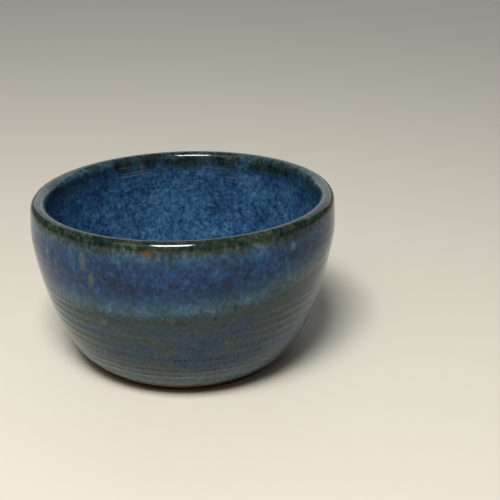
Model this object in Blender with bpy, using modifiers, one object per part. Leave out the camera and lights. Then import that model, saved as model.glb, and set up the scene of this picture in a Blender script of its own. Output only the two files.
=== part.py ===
"""Wheel-thrown stoneware shaving bowl: a trimmed clay body under three fired glaze coats.

Row frame: origin on the table under the bowl's axis, +Z up the axis, metres.
"""

import math

import bmesh
import bpy
from mathutils import Vector
from mathutils.geometry import interpolate_bezier

MM = 0.001

# Driving dimensions of the finished, glazed bowl, in millimetres.
HEIGHT = 61.2
BELLY_RADIUS = 55.0
BELLY_HEIGHT = 48.9
LIP_RADIUS = 54.4
LIP_WIDTH = 5.5
LIP_RISE = 2.9
FOOT_EDGE_RADIUS = 38.2
FOOT_EDGE_HEIGHT = 2.6
FLOOR_HEIGHT = 9.4
FLOOR_FLAT_RADIUS = 15.0

# Shape of the outer wall between the foot edge and the belly.
SWELL = 1.36
EASE = 1.69

# Inside, the wall thickens towards its base and turns into the floor.
WALL_AT_TURN = 6.5
TURN_HEIGHT = 24.8
TURN_REACH = 13.0
FLOOR_REACH = 15.0

# The trimmed foot: a steep edge, a flat ring that stands on the table, and a shallow recess.
RING_OUTER_RADIUS = 37.2
RING_INNER_RADIUS = 32.2
RECESS_RADIUS = 30.6
RECESS_DEPTH = 2.8

# Fired glaze, and the gap that each coat's solid keeps to the clay and to the next coat.
GLAZE = 0.7
GAP = 0.3
LINER_EDGE_HEIGHT = 54.8
DIP_LINE_HEIGHT = 35.8
WAX_LINE_HEIGHT = 2.8

TURN_STEPS = 60
LIP_POINTS = 9
CLOSING = 1.3
MERGE_M = 0.00001

STONEWARE_BROWN = (0.23, 0.13, 0.075, 1.0)
LINER_BLUE = (0.035, 0.105, 0.235, 1.0)
UPPER_BLUE = (0.03, 0.085, 0.18, 1.0)
LOWER_SLATE = (0.06, 0.085, 0.10, 1.0)


def clear_scene():
    for old in list(bpy.data.objects):
        bpy.data.objects.remove(old, do_unlink=True)


def new_material(name, colour, roughness):
    made = bpy.data.materials.new(name)
    made.use_nodes = True
    shader = made.node_tree.nodes["Principled BSDF"]
    shader.inputs["Base Color"].default_value = colour
    shader.inputs["Roughness"].default_value = roughness
    made.diffuse_color = colour
    return made


def steps(first, last, count):
    return [first + (last - first) * i / (count - 1) for i in range(count)]


def heights_down(first, last, count):
    """Heights from first to last that come closer together towards last."""
    return [last + (first - last) * (1.0 - i / (count - 1)) ** CLOSING for i in range(count)]


def outer_radius(z):
    """Radius of the finished outer wall at height z, from the foot edge up to the lip."""
    if z <= BELLY_HEIGHT:
        t = (z - FOOT_EDGE_HEIGHT) / (BELLY_HEIGHT - FOOT_EDGE_HEIGHT)
        swell = (1.0 - (1.0 - t) ** SWELL) ** (1.0 / EASE)
        return FOOT_EDGE_RADIUS + (BELLY_RADIUS - FOOT_EDGE_RADIUS) * swell
    t = (z - BELLY_HEIGHT) / (HEIGHT - LIP_RISE - BELLY_HEIGHT)
    return BELLY_RADIUS - (BELLY_RADIUS - LIP_RADIUS) * t * t


def inner_radius(z):
    """Radius of the finished inner wall at height z, above the turn into the floor."""
    share = (z - TURN_HEIGHT) / (HEIGHT - LIP_RISE - TURN_HEIGHT)
    return outer_radius(z) - WALL_AT_TURN - (LIP_WIDTH - WALL_AT_TURN) * share


def inner_line(heights):
    return [Vector((inner_radius(z), z)) for z in heights]


def outer_line(heights):
    return [Vector((outer_radius(z), z)) for z in heights]


def floor_line():
    """The inside from the centre of the floor, over its flat disc, round the turn and up the wall."""
    slope = inner_radius(TURN_HEIGHT + 1.0) - inner_radius(TURN_HEIGHT)
    up_wall = Vector((slope, 1.0)).normalized()
    floor_edge = Vector((FLOOR_FLAT_RADIUS, FLOOR_HEIGHT))
    turn_top = Vector((inner_radius(TURN_HEIGHT), TURN_HEIGHT))
    reach_in = floor_edge + Vector((FLOOR_REACH, 0.0))
    reach_down = turn_top - up_wall * TURN_REACH
    turn = interpolate_bezier(floor_edge, reach_in, reach_down, turn_top, 7)
    return [Vector((0.0, FLOOR_HEIGHT)), *[Vector(p[:2]) for p in turn]]


def lip_line():
    """The rounded lip, from its inner side over the crown to its outer side."""
    centre = LIP_RADIUS - LIP_WIDTH / 2
    line = []
    for angle in steps(math.pi, 0.0, LIP_POINTS):
        across = LIP_WIDTH / 2 * math.cos(angle)
        rise = LIP_RISE * math.sin(angle)
        line.append(Vector((centre + across, HEIGHT - LIP_RISE + rise)))
    return line


def inset(line, distance):
    """The line moved by distance into the wall, which lies on the right of its direction."""
    moved = []
    for i, point in enumerate(line):
        before = (point - line[i - 1] if i else line[1] - point).normalized()
        after = (line[i + 1] - point if i + 1 < len(line) else point - line[i - 1]).normalized()
        into = Vector((before.y + after.y, -before.x - after.x))
        moved.append(point + into * distance / (1.0 + before.dot(after)))
    return moved


def turned(name, line, closed, material, collection):
    """A solid turned about Z from a line of (radius, height) points that has its material on the right."""
    shape = bmesh.new()
    verts = [shape.verts.new((point.x * MM, 0.0, point.y * MM)) for point in line]
    for start, end in zip(verts, verts[1:]):
        shape.edges.new((start, end))
    if closed:
        shape.edges.new((verts[-1], verts[0]))
    mesh = bpy.data.meshes.new(name)
    shape.to_mesh(mesh)
    shape.free()
    mesh.materials.append(material)
    made = bpy.data.objects.new(name, mesh)
    collection.objects.link(made)
    screw = made.modifiers.new("Turn", "SCREW")
    screw.axis = "Z"
    screw.steps = TURN_STEPS
    screw.render_steps = TURN_STEPS
    screw.use_merge_vertices = True
    screw.merge_threshold = MERGE_M
    screw.use_smooth_shade = True
    return made


def build():
    clear_scene()
    bowl = bpy.data.collections.new("shaving_bowl")
    bpy.context.scene.collection.children.link(bowl)
    stoneware = new_material("stoneware", STONEWARE_BROWN, 0.85)
    liner_blue = new_material("liner_glaze", LINER_BLUE, 0.12)
    upper_blue = new_material("upper_glaze", UPPER_BLUE, 0.12)
    lower_slate = new_material("lower_glaze", LOWER_SLATE, 0.15)

    # The finished surface from the middle of the floor, over the lip and down to the foot edge.
    inside = floor_line() + inner_line(steps(TURN_HEIGHT, LINER_EDGE_HEIGHT, 4)[1:])
    over_lip = inner_line([LINER_EDGE_HEIGHT + GAP]) + lip_line()
    upper_wall = outer_line(steps(HEIGHT - LIP_RISE, DIP_LINE_HEIGHT + GAP, 5)[1:])
    lower_wall = outer_line(heights_down(DIP_LINE_HEIGHT, WAX_LINE_HEIGHT, 8))
    surface = inside + over_lip + upper_wall + lower_wall
    under_glaze = inset(surface, GLAZE)
    clay = inset(surface, GLAZE + GAP)

    foot = [
        Vector((RING_OUTER_RADIUS, 0.0)),
        Vector((RING_INNER_RADIUS, 0.0)),
        Vector((RECESS_RADIUS, RECESS_DEPTH)),
        Vector((0.0, RECESS_DEPTH)),
    ]
    turned("stoneware_body", clay + foot, False, stoneware, bowl)

    liner_end = len(inside)
    upper_end = liner_end + len(over_lip) + len(upper_wall)
    liner = surface[:liner_end] + under_glaze[:liner_end][::-1]
    upper = surface[liner_end:upper_end] + under_glaze[liner_end:upper_end][::-1]
    lower = surface[upper_end:] + under_glaze[upper_end:][::-1]
    turned("liner_glaze_coat", liner, False, liner_blue, bowl)
    turned("upper_glaze_coat", upper, True, upper_blue, bowl)
    turned("lower_glaze_coat", lower, True, lower_slate, bowl)


build()
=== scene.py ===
"""Looks for the shaving bowl: hand-thrown stoneware under three coats of fired glaze.

Lengths are in millimetres in the row frame (origin on the table, +Z up) until a mesh is made.
"Turn" is the angle about the bowl's axis, and "along" a distance on its profile.
"""

import math

import bpy
import numpy as np
from mathutils import Matrix, Vector


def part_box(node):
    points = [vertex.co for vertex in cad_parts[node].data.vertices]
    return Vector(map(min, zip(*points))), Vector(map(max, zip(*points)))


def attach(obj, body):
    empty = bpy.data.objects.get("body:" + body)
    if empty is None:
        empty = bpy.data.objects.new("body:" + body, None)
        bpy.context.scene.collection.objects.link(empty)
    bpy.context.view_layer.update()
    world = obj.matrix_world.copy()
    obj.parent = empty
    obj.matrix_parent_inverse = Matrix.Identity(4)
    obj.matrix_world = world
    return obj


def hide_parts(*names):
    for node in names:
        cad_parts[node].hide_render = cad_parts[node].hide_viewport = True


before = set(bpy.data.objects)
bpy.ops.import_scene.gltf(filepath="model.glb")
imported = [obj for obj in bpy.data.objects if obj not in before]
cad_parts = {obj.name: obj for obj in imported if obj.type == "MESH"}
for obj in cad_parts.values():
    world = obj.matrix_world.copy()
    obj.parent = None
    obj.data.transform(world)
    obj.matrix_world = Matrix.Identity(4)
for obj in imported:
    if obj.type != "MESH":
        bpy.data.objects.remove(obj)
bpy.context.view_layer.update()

MM = 0.001
FULL_TURN = 2.0 * math.pi


def box_mm(node):
    """Lowest and highest corner of a CAD node, in millimetres."""
    return [Vector(corner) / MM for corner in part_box(node)]


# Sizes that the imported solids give.
HEIGHT = box_mm("upper_glaze_coat")[1].z
BELLY_RADIUS = box_mm("upper_glaze_coat")[1].x
LINER_EDGE_HEIGHT = box_mm("liner_glaze_coat")[1].z
DIP_LINE_HEIGHT = box_mm("lower_glaze_coat")[1].z
WAX_LINE_HEIGHT = box_mm("lower_glaze_coat")[0].z
GLAZE = 0.7
FLOOR_HEIGHT = box_mm("liner_glaze_coat")[0].z + GLAZE

# The rest of the finished profile, as the solids were turned.
BELLY_HEIGHT = 48.9
LIP_RADIUS = 54.4
LIP_WIDTH = 5.5
LIP_RISE = 2.9
FOOT_EDGE_RADIUS = 38.2
FOOT_EDGE_HEIGHT = 2.6
SWELL = 1.36
EASE = 1.69
FLOOR_FLAT_RADIUS = 15.0
FLOOR_REACH = 15.0
TURN_HEIGHT = 24.8
TURN_REACH = 13.0
WALL_AT_TURN = 6.5
RING_OUTER_RADIUS = 37.2
RING_INNER_RADIUS = 32.2
RECESS_RADIUS = 30.6
RECESS_DEPTH = 2.8

# The rim was thrown by hand: above LEAN_START of the height it leans, highest at LEAN_TURN.
RIM_LEAN = 3.17
LEAN_START = 0.3
LEAN_TURN = math.radians(-68.3)
RIM_OVAL = 0.16

# The second dip ends in a wavy line round the outside: each wave's count, height and place.
DIP_WAVES = [(1, 5.3, math.radians(-7)), (2, 1.1, math.radians(-19)), (3, 1.6, math.radians(-8))]
UPPER_COAT_STEP = 0.14

# How far each coat runs on past its edge, along the profile.
LINER_UNDER_LIP = 3.0
UPPER_OVER_LINER = 1.0
UPPER_OVER_LOWER = 1.0
LOWER_UNDER_UPPER = 4.0

# Relief of the hand's marks, and the pitch of the rings that the fingers leave.
INSIDE_RINGS = 0.04
INSIDE_PITCH = 4.6
OUTSIDE_RINGS = 0.02
LOW_OUTSIDE_RINGS = 0.06
OUTSIDE_PITCH = 2.9
FLOOR_SPIRAL = 0.10
TRIMMING_RINGS = 0.05
RECESS_SPIRAL = 0.09
LINER_TOP_DIP = 0.35
UNDER_UPPER_DIP = 0.3
FOOT_BEAD = 0.2
FOOT_ROUNDING = 0.45

# Points round each piece, and rows of points along it.
COLUMNS = 420
LINER_ROWS = 130
COAT_ROWS = 120
ROWS_PER_BACK_ROW = 8
CLAY_ROWS = 70

CAMERA_PLACE = (0.02428, -0.33791, 0.19163)
CAMERA_PITCH = math.radians(24.51)
CAMERA_ROLL = math.radians(0.34)
CAMERA_LENS = 71.9
TABLE_COLOUR = (0.70, 0.68, 0.62, 1.0)
WORLD_COLOUR = (0.11, 0.105, 0.10, 1)


def smoothstep(low, high, x):
    t = np.clip((x - low) / (high - low), 0.0, 1.0)
    return t * t * (3.0 - 2.0 * t)


# ---------------------------------------------------------------- profile


def outer_radius(z):
    below = np.clip((z - FOOT_EDGE_HEIGHT) / (BELLY_HEIGHT - FOOT_EDGE_HEIGHT), 0.0, 1.0)
    swell = (1.0 - (1.0 - below) ** SWELL) ** (1.0 / EASE)
    above = np.clip((z - BELLY_HEIGHT) / (HEIGHT - LIP_RISE - BELLY_HEIGHT), 0.0, None)
    closing = (BELLY_RADIUS - LIP_RADIUS) * above**2
    return FOOT_EDGE_RADIUS + (BELLY_RADIUS - FOOT_EDGE_RADIUS) * swell - closing


def inner_radius(z):
    share = (z - TURN_HEIGHT) / (HEIGHT - LIP_RISE - TURN_HEIGHT)
    return outer_radius(z) - WALL_AT_TURN - (LIP_WIDTH - WALL_AT_TURN) * share


def bezier(corners, count):
    """Points on a cubic curve."""
    t = np.linspace(0.0, 1.0, count)[:, None]
    weights = [(1 - t) ** 3, 3 * t * (1 - t) ** 2, 3 * t * t * (1 - t), t**3]
    return sum(weight * np.array(corner) for weight, corner in zip(weights, corners))


def finished_line():
    """Radii and heights from the middle of the inside floor, over the lip, to the foot edge."""
    turn_top = np.array([inner_radius(TURN_HEIGHT), TURN_HEIGHT])
    up_wall = np.array([inner_radius(TURN_HEIGHT + 1.0), TURN_HEIGHT + 1.0]) - turn_top
    corners = [
        (FLOOR_FLAT_RADIUS, FLOOR_HEIGHT),
        (FLOOR_FLAT_RADIUS + FLOOR_REACH, FLOOR_HEIGHT),
        turn_top - up_wall / np.linalg.norm(up_wall) * TURN_REACH,
        turn_top,
    ]
    floor = np.array([[0.0, FLOOR_HEIGHT]])
    rise = np.linspace(TURN_HEIGHT, HEIGHT - LIP_RISE, 100)[1:]
    round_lip = np.linspace(math.pi, 0.0, 120)[1:-1]
    lip_r = LIP_RADIUS - LIP_WIDTH / 2 * (1.0 - np.cos(round_lip))
    lip_z = HEIGHT - LIP_RISE * (1.0 - np.sin(round_lip))
    fall = np.linspace(HEIGHT - LIP_RISE, FOOT_EDGE_HEIGHT, 400)
    parts = [
        floor,
        bezier(corners, 200),
        np.stack([inner_radius(rise), rise], axis=1),
        np.stack([lip_r, lip_z], axis=1),
        np.stack([outer_radius(fall), fall], axis=1),
    ]
    return np.concatenate(parts)


class Profile:
    """A line of (radius, height) points, read by the distance along it. Its outside is on its left."""

    STEP = 0.1

    def __init__(self, line, easing):
        """The line, with the kinks between its arcs eased over that many millimetres."""
        along = np.concatenate([[0.0], np.cumsum(np.hypot(*np.diff(line, axis=0).T))])
        self.length = along[-1]
        self.along = np.arange(0.0, self.length, self.STEP)
        half = int(easing / self.STEP / 2)
        self.r, self.z = (self._eased(np.interp(self.along, along, values), half) for values in line.T)
        slope = np.stack([np.gradient(self.r), np.gradient(self.z)])
        slope /= np.linalg.norm(slope, axis=0)
        self.out_r, self.out_z = -slope[1], slope[0]
        self.crown = self.along[np.argmax(self.z)]

    @staticmethod
    def _eased(values, half):
        weights = np.hanning(2 * half + 3)[1:-1]
        before = values[0] + (values[0] - values[1]) * np.arange(half, 0, -1)
        after = values[-1] + (values[-1] - values[-2]) * np.arange(1, half + 1)
        return np.convolve(np.concatenate([before, values, after]), weights / weights.sum(), mode="valid")

    def point(self, along, off):
        """Radius and height at each distance along, moved off the line by off."""
        r, z, out_r, out_z = (
            np.interp(along, self.along, values) for values in (self.r, self.z, self.out_r, self.out_z)
        )
        return r + out_r * off, z + out_z * off

    def height(self, along):
        return np.interp(along, self.along, self.z)

    def outside(self, z):
        """The distance along to height z on the outer wall."""
        outer = self.along > self.crown
        return np.interp(-np.asarray(z), -self.z[outer], self.along[outer])

    def inside(self, z):
        """The distance along to height z on the inner wall."""
        wall = (self.along < self.crown) & (self.z > TURN_HEIGHT)
        return np.interp(z, self.z[wall], self.along[wall])


profile = Profile(finished_line(), easing=1.2)
turns = np.linspace(0.0, FULL_TURN, COLUMNS, endpoint=False)


# ---------------------------------------------------------------- marks of the hand


def wander(turn, seed, waves=5):
    """A smooth closed line round the pot, about -1 to 1, different for each seed."""
    random = np.random.default_rng(seed)
    total = np.zeros_like(turn)
    for count in range(1, waves + 1):
        total = total + random.normal() / count * np.cos(count * turn + random.uniform(0.0, FULL_TURN))
    return total / 1.5


def throwing_marks(turn, z, seed, pitch):
    """Finger marks that climb the wall as a helix, about -1 to 1."""
    climb = z / pitch + turn / FULL_TURN
    drift = 0.12 * wander(turn, seed, 3) + 0.3 * np.sin(z / 5.3 + seed)
    strength = 0.7 + 0.3 * np.sin(z / 3.7 + wander(turn, seed + 1, 3))
    return strength * np.sin(FULL_TURN * (climb + drift)) + 0.3 * np.sin(FULL_TURN * 2.0 * climb + seed)


def inside_relief(along, turn):
    z = profile.height(along)
    wall = smoothstep(FLOOR_FLAT_RADIUS, 1.6 * FLOOR_FLAT_RADIUS, along)
    clear_of_lip = smoothstep(2.0, 9.0, profile.crown - along)
    marks = INSIDE_RINGS * wall * clear_of_lip * throwing_marks(turn, z, 3, INSIDE_PITCH)
    spiral = FLOOR_SPIRAL * (1.0 - wall) * smoothstep(0.5, 3.0, along) * np.sin(along * 1.35 - turn)
    return marks + spiral


def outside_relief(along, turn):
    z = profile.height(along)
    clear_of_lip = smoothstep(2.0, 8.0, along - profile.crown)
    amount = OUTSIDE_RINGS + LOW_OUTSIDE_RINGS * smoothstep(40.0, 26.0, z)
    return amount * clear_of_lip * throwing_marks(turn, z, 11, OUTSIDE_PITCH)


def dip_line(turn):
    """Height of the second coat's lower edge."""
    waves = sum(height * np.cos(count * (turn - place)) for count, height, place in DIP_WAVES)
    return DIP_LINE_HEIGHT + waves + 0.5 * wander(turn, 21, 24)


def thrown(r, z, turn):
    """Points in metres, with the lean and the slight ovalness of a pot made by hand."""
    height = np.clip((z / HEIGHT - LEAN_START) / (1.0 - LEAN_START), 0.0, 1.0)
    share = np.minimum(r / LIP_RADIUS, 1.0)
    r = r + share * height * RIM_OVAL * np.cos(2.0 * turn + 0.6)
    lift = height * share * RIM_LEAN * np.cos(turn - LEAN_TURN)
    return np.stack([r * np.cos(turn), r * np.sin(turn), z + lift], axis=-1) * MM


# ---------------------------------------------------------------- coats


liner_edge = float(profile.inside(LINER_EDGE_HEIGHT))
dip_edge = profile.outside(dip_line(turns))
foot_edge = float(profile.outside(WAX_LINE_HEIGHT))


def rolled(to_edge, radius):
    """The round edge of a coat: 0 at its edge, 1 from radius on."""
    share = np.clip(to_edge / radius, 0.0, 1.0)
    return np.sqrt(1.0 - (1.0 - share) ** 2)


def liner_relief(along, turn):
    """Dips a little under the upper coat at its top."""
    under = smoothstep(-1.5, LINER_UNDER_LIP, along - liner_edge)
    return inside_relief(along, turn) - LINER_TOP_DIP * under


def upper_relief(along, turn):
    """Level with the liner inside the lip, and a step above the lower coat outside."""
    step = UPPER_COAT_STEP * smoothstep(0.0, 6.0, along - profile.crown)
    outside = outside_relief(along, turn) + step
    surface = np.where(along > profile.crown, outside, inside_relief(along, turn))
    to_edge = profile.outside(dip_line(turn)) + UPPER_OVER_LOWER - along
    return surface - (UPPER_COAT_STEP + 0.25) * (1.0 - rolled(to_edge, 2.6))


def lower_relief(along, turn):
    """Runs on under the upper coat, and ends in a bead above the foot."""
    under = smoothstep(0.5, -2.0, along - profile.outside(dip_line(turn)))
    to_edge = foot_edge - along
    bead = FOOT_BEAD * smoothstep(3.0, 0.8, to_edge)
    edge = 0.85 * (1.0 - rolled(to_edge, 0.8))
    return outside_relief(along, turn) - UNDER_UPPER_DIP * under + bead - edge


# ---------------------------------------------------------------- meshes


def mesh_from_rings(name, rings, poles):
    """A closed mesh from rings of points. With poles, the first and last ring are single points;
    without, the last ring joins the first."""
    loose = [rings[0][0], rings[-1][0]] if poles else []
    body = rings[1:-1] if poles else rings
    rows = len(body)
    column = np.arange(COLUMNS)
    after = np.roll(column, -1)
    faces = []
    for row in range(rows - 1 if poles else rows):
        here = row * COLUMNS
        there = (row + 1) % rows * COLUMNS
        faces += np.stack([here + column, there + column, there + after, here + after], axis=1).tolist()
    if poles:
        first = rows * COLUMNS
        base = (rows - 1) * COLUMNS
        faces += np.stack([np.full(COLUMNS, first), column, after], axis=1).tolist()
        faces += np.stack([np.full(COLUMNS, first + 1), base + after, base + column], axis=1).tolist()
    mesh = bpy.data.meshes.new(name)
    mesh.from_pydata([*body.reshape(-1, 3).tolist(), *[list(point) for point in loose]], [], faces)
    mesh.validate()
    mesh.shade_smooth()
    return mesh


def add_piece(name, mesh, values, material, node):
    """Adds the piece that stands for a CAD node. Its material reads the values at its points."""
    for value_name, numbers in values.items():
        attribute = mesh.attributes.new(value_name, "FLOAT", "POINT")
        attribute.data.foreach_set("value", np.asarray(numbers, np.float32).ravel())
    piece = bpy.data.objects.new(name, mesh)
    bpy.context.scene.collection.objects.link(piece)
    mesh.materials.append(material)
    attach(piece, "root")
    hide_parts(node)


def ring_grid(start, end, rows):
    """Distances along and turns for rows of points, closer together near both ends."""
    share = 0.5 - 0.5 * np.cos(np.linspace(0.0, math.pi, rows))
    even = np.linspace(0.0, 1.0, rows)
    share = (0.55 * share + 0.45 * even)[:, None]
    along = start + (end - start) * share
    return np.broadcast_arrays(along, turns)


def coat_piece(name, start, end, rows, relief, material, poles=False):
    """Adds a glaze coat between two distances along the profile: its face, and its back on the clay.
    It has the name of its material slot."""
    along, turn = ring_grid(start, end, rows)
    face = relief(along, turn)
    back_rows = slice(None, None, -ROWS_PER_BACK_ROW)
    back_along, back_turn = along[back_rows], turn[back_rows]
    back = np.full_like(back_along, -GLAZE)
    along = np.concatenate([along, back_along])
    turn = np.concatenate([turn, back_turn])
    off = np.concatenate([face, back])
    rings = thrown(*profile.point(along, off), turn)
    mesh = mesh_from_rings(name, rings, poles)
    keep = slice(1, -1) if poles else slice(None)
    ends = ((0, 0), (-1, 0)) if poles else ()

    def at_points(values):
        return np.concatenate([values[keep].ravel(), [values[end] for end in ends]])

    values = {
        "lip": at_points(along - profile.crown),
        "dip": at_points(profile.height(along) - dip_line(turn)),
    }
    add_piece(name, mesh, values, material, name + "_coat")


def rounded_corners(points, radius, count=7):
    """The line with its inner corners rounded."""
    points = [np.array(point, float) for point in points]
    line = [points[0]]
    for before, corner, after in zip(points, points[1:], points[2:]):
        into = (before - corner) / np.linalg.norm(before - corner) * radius
        out = (after - corner) / np.linalg.norm(after - corner) * radius
        for t in np.linspace(0.0, 1.0, count):
            line.append(corner + into * (1 - t) ** 2 + out * t * t)
    line.append(points[-1])
    return np.array(line)


def clay_piece(material):
    """Adds the clay under the coats, with the bare trimmed foot."""
    under = np.concatenate([np.linspace(0.0, profile.length - 1.0, CLAY_ROWS), [profile.length]])
    r, z = profile.point(under, -GLAZE + 0.1)
    foot_line = rounded_corners(
        [
            (r[-1], z[-1]),
            (RING_OUTER_RADIUS + 0.4, z[-1] - 0.4),
            (RING_OUTER_RADIUS, 0.0),
            (RING_INNER_RADIUS, 0.0),
            (RECESS_RADIUS, RECESS_DEPTH),
            (0.0, RECESS_DEPTH),
        ],
        FOOT_ROUNDING,
    )
    foot = Profile(foot_line, easing=0.2)
    recess_start = foot.length - RECESS_RADIUS
    rows = [np.arange(0.4, recess_start, 0.16), np.arange(recess_start, foot.length, 0.45)]
    foot_along, foot_turn = np.broadcast_arrays(np.concatenate(rows)[:, None], turns)
    foot_r, foot_z = foot.point(foot_along, 0.0)
    lifted = smoothstep(0.05, 0.6, foot_z)
    in_recess = smoothstep(RECESS_RADIUS, RECESS_RADIUS - 3.0, foot_r)
    grooves = TRIMMING_RINGS * np.sin(foot_r * 4.1 + 0.6 * wander(foot_turn, 5))
    spiral = RECESS_SPIRAL * in_recess * np.sin(foot_r * 1.15 - foot_turn)
    foot_z = foot_z + lifted * (grooves + spiral - 0.02)
    wall_r, wall_turn = np.broadcast_arrays(r[:-1, None], turns)
    wall_z = np.broadcast_to(z[:-1, None], wall_r.shape)
    rings = np.concatenate([thrown(wall_r, wall_z, wall_turn), thrown(foot_r, foot_z, foot_turn)])
    rings[0] = rings[0].mean(axis=0)
    rings[-1] = rings[-1].mean(axis=0)
    mesh = mesh_from_rings("clay_body", rings, True)
    add_piece("clay_body", mesh, {}, material, "stoneware_body")


# ---------------------------------------------------------------- materials


def paint(red, green, blue):
    """A colour given as it looks, 0 to 255, in the linear values that a shader takes (the sRGB curve)."""
    seen = [value / 255.0 for value in (red, green, blue)]
    linear = [v / 12.92 if v < 0.0404 else ((v + 0.055) / 1.055) ** 2.4 for v in seen]
    return (*linear, 1.0)


def palette(*colours):
    return [paint(*colour) for colour in colours]


class Surface:
    """A material under construction. Each call adds a node, and takes sockets or plain values."""

    def __init__(self, name, gloss):
        self.material = bpy.data.materials.new(name)
        self.material.use_nodes = True
        self.tree = self.material.node_tree
        self.shader = self.tree.nodes["Principled BSDF"]
        self.shader.inputs["Specular IOR Level"].default_value = gloss
        metres = self.tree.nodes.new("ShaderNodeTexCoord").outputs["Object"]
        in_mm = {0: metres, 1: (1.0 / MM,) * 3}
        self.place = self.node("ShaderNodeVectorMath", in_mm, operation="MULTIPLY").outputs[0]

    def feed(self, socket, value):
        if isinstance(value, bpy.types.NodeSocket):
            self.tree.links.new(value, socket)
        else:
            socket.default_value = value

    def node(self, kind, inputs, **settings):
        made = self.tree.nodes.new(kind)
        for name, value in settings.items():
            setattr(made, name, value)
        for key, value in inputs.items():
            self.feed(made.inputs[key], value)
        return made

    def noise(self, size, detail=2.0, roughness=0.5, stretch=(1.0, 1.0, 1.0), seed=0.0):
        """Noise with features of about that size, in millimetres."""
        where = self.node(
            "ShaderNodeVectorMath",
            {0: self.place, 1: [factor / size for factor in stretch], 2: (seed, seed, seed)},
            operation="MULTIPLY_ADD",
        )
        inputs = {"Vector": where.outputs[0], "Scale": 1.0, "Detail": detail, "Roughness": roughness}
        return self.node("ShaderNodeTexNoise", inputs).outputs["Fac"]

    def calculate(self, operation, first, second=0.0, third=0.0):
        inputs = {0: first, 1: second, 2: third}
        return self.node("ShaderNodeMath", inputs, operation=operation).outputs[0]

    def add(self, *parts):
        """The sum of (value, weight) pairs."""
        total = 0.0
        for value, weight in parts:
            total = self.calculate("MULTIPLY_ADD", value, weight, total)
        return total

    def band(self, value, low, high):
        """0 at low, 1 at high, smooth between."""
        inputs = {"Value": value, "From Min": low, "From Max": high}
        return self.node("ShaderNodeMapRange", inputs, interpolation_type="SMOOTHSTEP").outputs[0]

    def ramp(self, value, stops):
        """Colours at places from 0 to 1."""
        made = self.node("ShaderNodeValToRGB", {"Fac": value})
        elements = made.color_ramp.elements
        while len(elements) < len(stops):
            elements.new(1.0)
        for element, (place, colour) in zip(elements, stops):
            element.position = place
            element.color = colour
        return made.outputs["Color"]

    def mix(self, share, first, second):
        made = self.node("ShaderNodeMix", {"Factor": share}, data_type="RGBA")
        self.feed(made.inputs[6], first)
        self.feed(made.inputs[7], second)
        return made.outputs[2]

    def both(self, first, second):
        """A share where both shares are."""
        return self.calculate("MULTIPLY", first, second)

    def faded(self, share, strength, first, second):
        """A mix that never has more of the second colour than that strength."""
        return self.mix(self.calculate("MULTIPLY", share, strength), first, second)

    def height(self):
        """Millimetres above the table."""
        return self.node("ShaderNodeSeparateXYZ", {0: self.place}).outputs["Z"]

    def point_value(self, name):
        return self.node("ShaderNodeAttribute", {}, attribute_name=name).outputs["Fac"]

    def ragged(self, distance, pattern, amount):
        """The distance, moved to and fro by the pattern, so that an edge drawn by it is broken."""
        shift = self.calculate("MULTIPLY_ADD", pattern, amount, -0.5 * amount)
        return self.calculate("ADD", distance, shift)

    def spot(self, middle, size):
        """1 at a point of the row frame, given in millimetres, falling to 0 at size from it."""
        away = self.node("ShaderNodeVectorMath", {0: self.place, 1: middle}, operation="SUBTRACT")
        scaled = self.node("ShaderNodeVectorMath", {0: away.outputs[0], 1: size}, operation="DIVIDE")
        far = self.node("ShaderNodeVectorMath", {0: scaled.outputs[0]}, operation="LENGTH")
        return self.band(self.ragged(far.outputs["Value"], self.noise(1.1), 2.4), 1.4, 0.3)

    def finish(self, colour, roughness, relief, depth):
        """Sets what the shader reads. depth is the relief's in millimetres."""
        self.feed(self.shader.inputs["Base Color"], colour)
        self.feed(self.shader.inputs["Roughness"], roughness)
        bump = self.node("ShaderNodeBump", {"Height": relief, "Distance": depth * MM, "Strength": 1.0})
        self.feed(self.shader.inputs["Normal"], bump.outputs["Normal"])
        return self.material


# The colours that each glaze shows, from where it lies thick and dark to its pale crystals, and one slate
# with a painted reflection in it.
LINER_BLUES = palette((28, 48, 70), (42, 74, 108), (58, 96, 134), (78, 118, 150), (112, 148, 172))
UPPER_BLUES = palette((10, 28, 48), (16, 45, 78), (23, 60, 102), (38, 82, 124), (76, 120, 150))
TEALS = palette((36, 60, 76), (52, 82, 99), (68, 101, 116), (92, 124, 136), (122, 148, 156))
MOSSES = palette((14, 27, 30), (29, 43, 42), (45, 58, 52), (67, 78, 64), (98, 104, 80))
SLATES = palette((24, 36, 44), (38, 66, 94), (52, 74, 92), (64, 82, 82), (98, 116, 122))
# The slate made paler: a painted reflection of the pale table in the low wall near the foot.
FLOOR_SHEEN_SLATES = palette((60, 78, 88), (72, 94, 106), (86, 106, 114), (98, 116, 118), (120, 136, 134))
SLATE_OLIVE = paint(58, 68, 58)
INK = paint(12, 26, 38)
CRYSTAL = paint(78, 112, 112)
CLAY_DARK = paint(64, 44, 30)
CLAY = paint(112, 84, 60)
THIN_CLAY = paint(158, 134, 112)
OLIVE = paint(92, 108, 84)
BROWN = paint(92, 78, 68)
RUST = paint(108, 66, 42)
PALE = paint(106, 134, 152)

# How strongly a surface mirrors, as a share of what its shader allows.
GLOSS = 0.45
CLAY_GLOSS = 0.3
TABLE_GLOSS = 0.2

# Where a pattern that keeps near 0.5 changes to each colour of a palette.
FIVE_PLACES = (0.33, 0.43, 0.51, 0.60, 0.71)

# Marks of the fire on the outside: turn in degrees, height, half width, half height and colour.
MARK_STRENGTH = 0.65
MARKS = [
    (-122.9, 52.4, 1.3, 3.2, OLIVE),
    (-119.8, 46.9, 1.4, 3.0, OLIVE),
    (-117.5, 31.5, 1.5, 1.4, OLIVE),
    (-91.0, 34.8, 1.6, 1.2, BROWN),
    (-68.6, 38.5, 0.9, 1.6, INK),
    (-45.6, 54.5, 1.3, 1.3, PALE),
    (-98.8, 58.0, 1.6, 1.2, RUST),
    (35.0, 50.3, 1.4, 3.8, OLIVE),
    (118.0, 47.8, 1.4, 3.2, OLIVE),
    (160.0, 37.3, 1.1, 1.6, INK),
]


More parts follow.
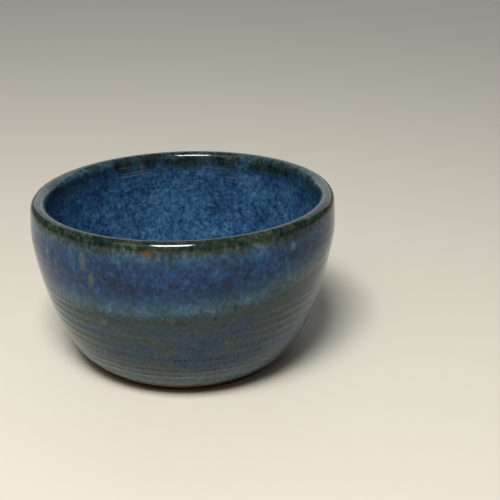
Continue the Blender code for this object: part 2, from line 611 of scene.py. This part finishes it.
def five_colours(surface, pattern, colours):
    """Colours from the darkest to the lightest parts of a pattern that keeps near its middle."""
    return surface.ramp(pattern, list(zip(FIVE_PLACES, colours)))


def mottle(surface, down):
    """The broken pattern of a floating blue glaze, 0 to 1. Below 1, down draws it out down the wall."""
    flecks = surface.noise(1.3, 2.0, 0.5, (1.0, 1.0, down))
    clumps = surface.noise(3.2, 2.0, 0.5, (1.0, 1.0, down), 7.0)
    clouds = surface.noise(13.0, 2.0, 0.5, seed=19.0)
    return surface.add((flecks, 0.45), (clumps, 0.3), (clouds, 0.25))


def inked(surface, colour, size, share):
    """The colour with dark specks scattered over it, mixed in by that share."""
    specks = surface.band(surface.noise(size, 1.0, 0.4, seed=41.0), 0.64, 0.72)
    return surface.faded(specks, share, colour, INK)


def lower_colours(surface):
    """The thin first coat, banded by the throwing rings under it, and paler towards the foot, where a
    painted reflection of the pale table lightens it.
    """
    bands = surface.noise(2.2, 3.0, 0.55, (0.06, 0.06, 1.0), 3.0)
    patches = surface.noise(8.0, 2.0, 0.5, (0.5, 0.5, 1.0), 11.0)
    flecks = surface.noise(1.3, 2.0, 0.6, seed=23.0)
    pattern = surface.add((bands, 0.34), (flecks, 0.60), (patches, 0.36), (1.0, -0.15))
    height = surface.calculate("MULTIPLY_ADD", bands, 8.0, surface.height())
    slates = five_colours(surface, pattern, SLATES)
    floor_sheen_slates = five_colours(surface, pattern, FLOOR_SHEEN_SLATES)
    # Paler below about 20 mm: a painted reflection of the pale table in the low wall.
    colour = surface.mix(surface.band(height, 20.0, 9.0), slates, floor_sheen_slates)
    near_dip = surface.band(surface.point_value("dip"), -8.0, -1.0)
    olive = surface.calculate("MAXIMUM", surface.band(patches, 0.52, 0.62), near_dip)
    colour = surface.faded(olive, 0.45, colour, SLATE_OLIVE)
    return inked(surface, colour, 1.2, 0.5), bands


def rimmed(surface, colour, teals, pattern):
    """The colour, tinged with teal over the lip, green outside its crown and in patches inside."""
    across = surface.ragged(surface.point_value("lip"), pattern, 9.0)
    near_lip = surface.band(surface.calculate("ABSOLUTE", across), 11.0, 2.5)
    tinged = surface.faded(near_lip, 0.7, colour, teals)
    outside = surface.both(surface.band(across, -1.6, 0.0), surface.band(across, 7.0, 4.2))
    inside = surface.both(surface.band(across, 0.0, -1.6), surface.band(across, -10.0, -6.0))
    patches = surface.band(surface.noise(9.0, 2.0, 0.6, seed=53.0), 0.40, 0.56)
    inside = surface.both(inside, surface.calculate("MULTIPLY_ADD", patches, 0.6, 0.3))
    green = surface.calculate("MAXIMUM", outside, inside)
    return surface.mix(green, tinged, five_colours(surface, pattern, MOSSES))


def on_wall(turn, height):
    """A point of the outer wall, in millimetres."""
    return Vector(thrown(outer_radius(height), height, turn)) / MM


def marked(surface, colour):
    """The colour with the runs and spots that the fire left."""
    for turn, height, half_width, half_height, tint in MARKS:
        middle = on_wall(math.radians(turn), height)
        share = surface.spot(middle, (half_width, half_width, half_height))
        colour = surface.faded(share, MARK_STRENGTH, colour, tint)
    return colour


def peel(surface):
    """The orange peel of fired glass."""
    return surface.noise(2.6, 1.0, 0.4, seed=31.0)


def glaze_relief(surface, pattern):
    """Orange peel with a little of the mottle in it."""
    return surface.add((peel(surface), 0.8), (pattern, 0.25))


def shine(surface, pattern):
    """Roughness: the crystals in the glaze are a little duller than the glass between them."""
    return surface.calculate("MULTIPLY_ADD", pattern, 0.10, 0.03)


def liner_colours(surface, pattern):
    """The blue of the inside, with green crystals in it."""
    blue = inked(surface, five_colours(surface, pattern, LINER_BLUES), 1.5, 0.4)
    crystals = surface.band(surface.noise(1.3, 1.0, 0.5, seed=61.0), 0.60, 0.70)
    return surface.faded(crystals, 0.4, blue, CRYSTAL)


def liner_material():
    """Blue, and a little green under the lip."""
    surface = Surface("liner_glaze", GLOSS)
    pattern = mottle(surface, down=1.0)
    blue = liner_colours(surface, pattern)
    colour = rimmed(surface, blue, five_colours(surface, pattern, TEALS), pattern)
    return surface.finish(colour, shine(surface, pattern), glaze_relief(surface, pattern), 0.02)


def upper_material():
    """Green over the lip, blue down to the dip line, and teal where the two coats meet."""
    surface = Surface("upper_glaze", GLOSS)
    pattern = mottle(surface, down=0.75)
    teals = five_colours(surface, pattern, TEALS)
    above_dip = surface.point_value("dip")
    soft_dip = surface.ragged(above_dip, pattern, 16.0)
    sharp_dip = surface.ragged(above_dip, pattern, 7.0)
    colour = inked(surface, five_colours(surface, pattern, UPPER_BLUES), 1.5, 0.6)
    inside = surface.band(surface.point_value("lip"), -1.0, -5.0)
    colour = surface.mix(inside, colour, liner_colours(surface, pattern))
    colour = surface.faded(surface.band(soft_dip, 10.0, 1.0), 0.9, colour, teals)
    colour = surface.mix(surface.band(sharp_dip, 3.2, -0.8), colour, lower_colours(surface)[0])
    colour = marked(surface, rimmed(surface, colour, teals, pattern))
    return surface.finish(colour, shine(surface, pattern), glaze_relief(surface, pattern), 0.02)


def lower_material():
    """Slate, with the clay showing through its very edge."""
    surface = Surface("lower_glaze", GLOSS)
    colour, bands = lower_colours(surface)
    ragged_height = surface.ragged(surface.height(), bands, 1.6)
    edge = surface.band(ragged_height, WAX_LINE_HEIGHT + 1.4, WAX_LINE_HEIGHT + 0.4)
    colour = surface.mix(edge, marked(surface, colour), THIN_CLAY)
    relief = surface.add((bands, 0.9), (peel(surface), 0.4))
    return surface.finish(colour, shine(surface, bands), relief, 0.03)


def clay_material():
    surface = Surface("bare_stoneware", CLAY_GLOSS)
    grog = surface.noise(0.5, 3.0, 0.7)
    stain = surface.noise(7.0, 3.0, 0.6, seed=5.0)
    pattern = surface.add((grog, 0.5), (stain, 0.5))
    colour = surface.ramp(pattern, [(0.36, CLAY_DARK), (0.6, CLAY)])
    return surface.finish(colour, surface.band(grog, -0.9, 0.8), grog, 0.08)


# ---------------------------------------------------------------- stage, lights and camera


def stage():
    bpy.ops.mesh.primitive_plane_add(size=6.0)
    floor = bpy.context.object
    floor.name = "floor"
    table = Surface("table", TABLE_GLOSS)
    floor.data.materials.append(table.finish(TABLE_COLOUR, 0.6, table.noise(3.0), 0.02))


def area_light(name, place, target, size, power, colour):
    data = bpy.data.lights.new(name, "AREA")
    data.shape = "RECTANGLE"
    data.size, data.size_y = size
    data.energy = power
    data.color = colour
    light = bpy.data.objects.new(name, data)
    light.location = place
    light.visible_camera = False
    light.rotation_euler = (Vector(target) - Vector(place)).to_track_quat("-Z", "Y").to_euler()
    bpy.context.scene.collection.objects.link(light)


def camera():
    data = bpy.data.cameras.new("camera")
    data.lens = CAMERA_LENS
    made = bpy.data.objects.new("camera", data)
    bpy.context.scene.collection.objects.link(made)
    tilt = Matrix.Rotation(math.radians(90.0) - CAMERA_PITCH, 4, "X")
    roll = Matrix.Rotation(CAMERA_ROLL, 4, "Z")
    made.matrix_world = Matrix.Translation(CAMERA_PLACE) @ tilt @ roll
    bpy.context.scene.camera = made


def light_and_view():
    area_light("overhead", (-0.09, -0.39, 0.75), (-0.09, -0.36, 0), (0.29, 0.27), 6.8, (1, 0.965, 0.90))
    area_light("side", (-0.5, -0.5, 0.95), (0, 0, 0), (0.6, 0.5), 0.8, (1.0, 0.97, 0.93))
    area_light("back", (0.1, 1.9, 0.9), (0, 0, 0.1), (3.2, 1.5), 10.0, (0.90, 0.95, 1.0))
    world = bpy.data.worlds.new("world")
    world.use_nodes = True
    world.node_tree.nodes["Background"].inputs["Color"].default_value = WORLD_COLOUR
    bpy.context.scene.world = world
    camera()
    bpy.context.scene.view_settings.view_transform = "Standard"
    bpy.context.scene.view_settings.look = "Medium High Contrast"


liner_end = liner_edge + LINER_UNDER_LIP
upper_start = liner_edge - UPPER_OVER_LINER
upper_end = dip_edge + UPPER_OVER_LOWER
lower_start = dip_edge - LOWER_UNDER_UPPER
coat_piece("liner_glaze", 0.0, liner_end, LINER_ROWS, liner_relief, liner_material(), poles=True)
coat_piece("upper_glaze", upper_start, upper_end, COAT_ROWS, upper_relief, upper_material())
coat_piece("lower_glaze", lower_start, foot_edge, COAT_ROWS, lower_relief, lower_material())
clay_piece(clay_material())
stage()
light_and_view()
